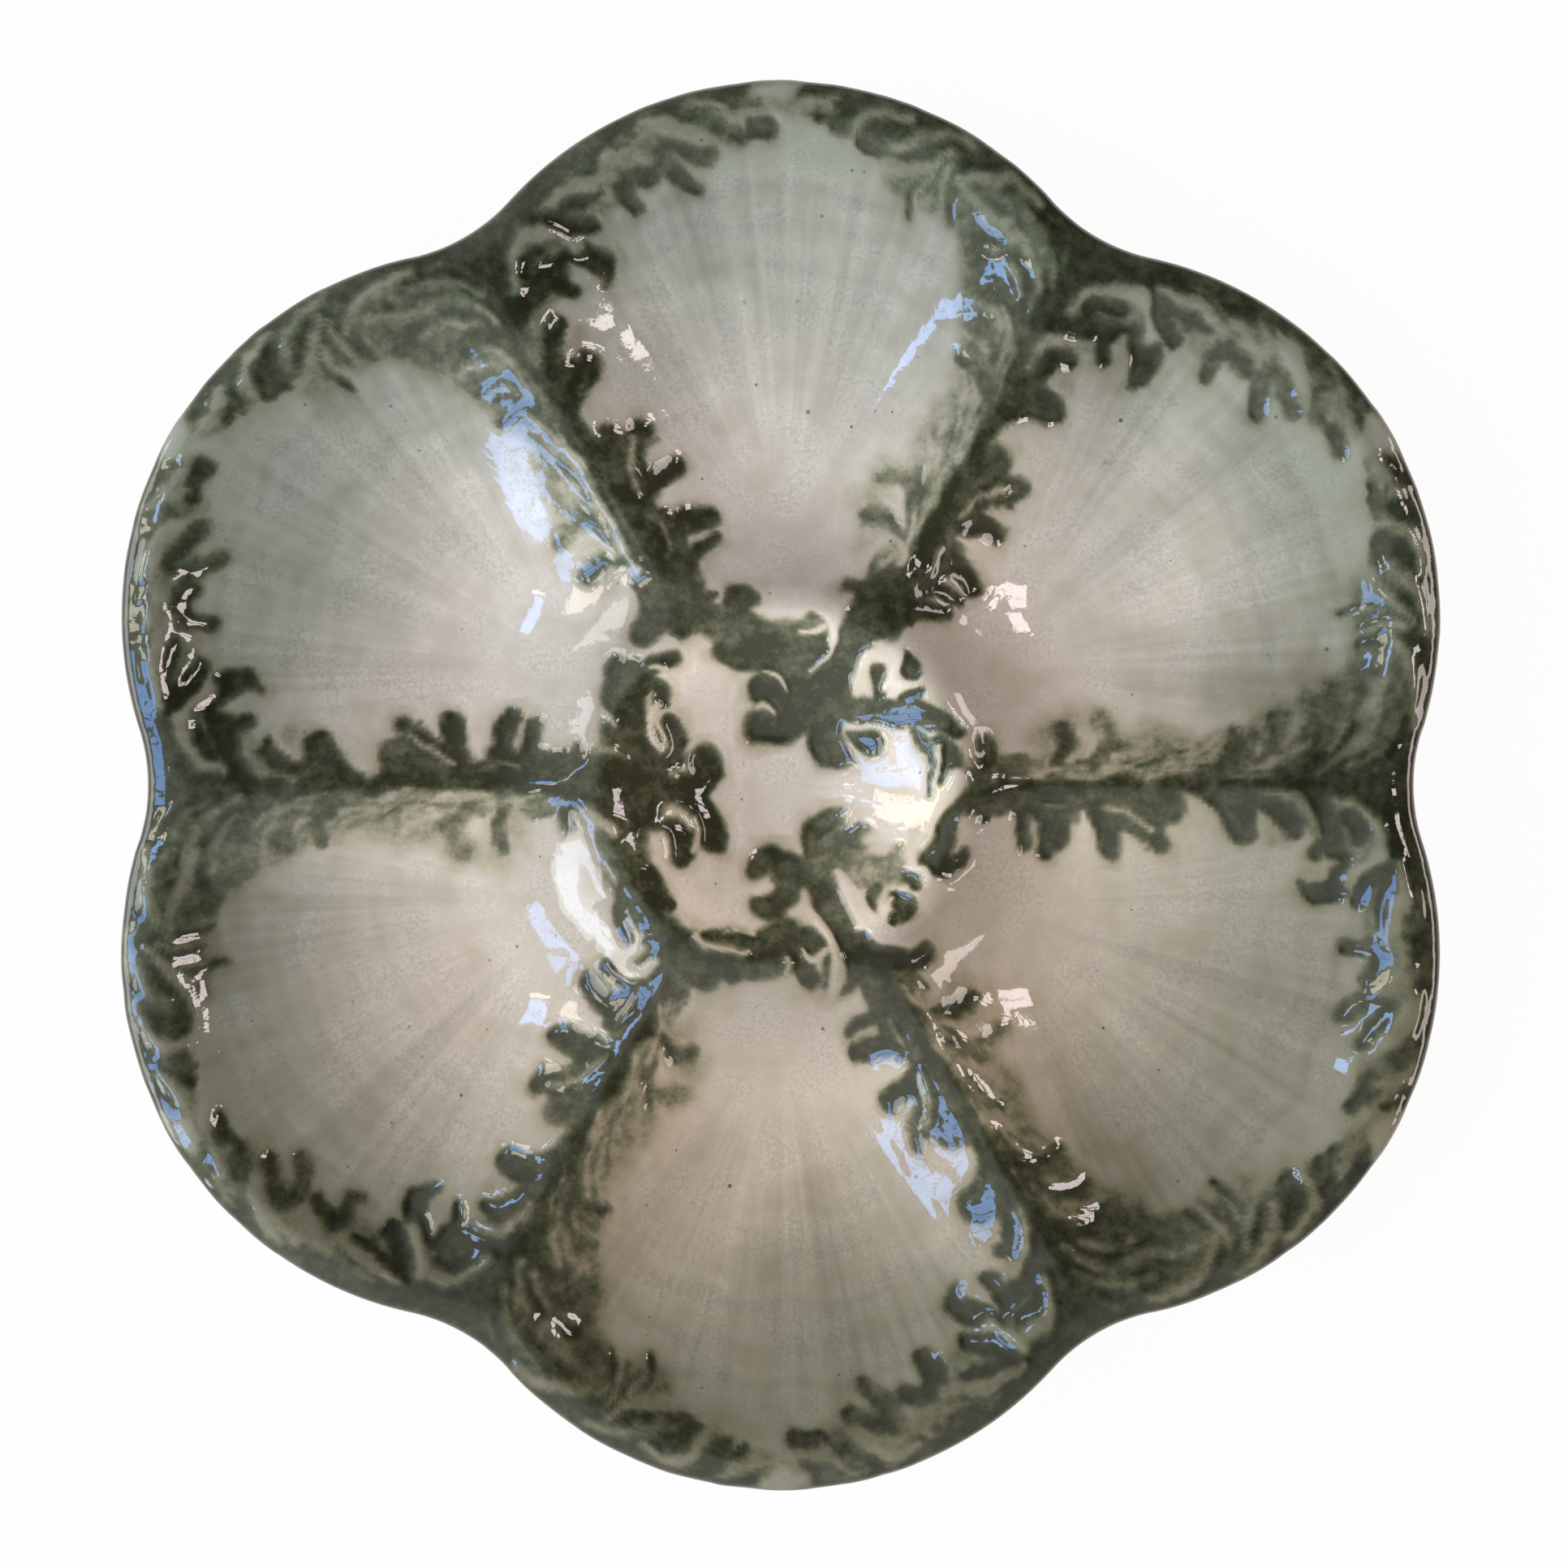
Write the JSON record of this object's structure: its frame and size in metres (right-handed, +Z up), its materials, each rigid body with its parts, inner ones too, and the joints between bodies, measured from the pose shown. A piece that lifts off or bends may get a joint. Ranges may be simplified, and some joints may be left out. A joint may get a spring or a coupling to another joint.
{
  "type": "oyster plate",
  "caption": "Lobed majolica oyster plate with shell-shaped wells round a centre well, leafy ridges between them, and a foot ring.",
  "frame": {"origin": "on the table under the middle of the plate, at the foot ring's land", "axes": "+Z up out of the wells, +Y through the middle of one lobe, +X through the notch between two lobes"},
  "size_m": [0.2294, 0.245, 0.027],
  "materials": {
    "glaze": "glossy sage to blush majolica glaze, pooling dark olive green in the pressed leaves and round the rim",
    "foot": "pale cream glaze, wiped off the land to bare buff earthenware"
  },
  "bodies": {
    "root": {"body": "glaze", "foot_ring": "foot"}
  },
  "joints": []
}
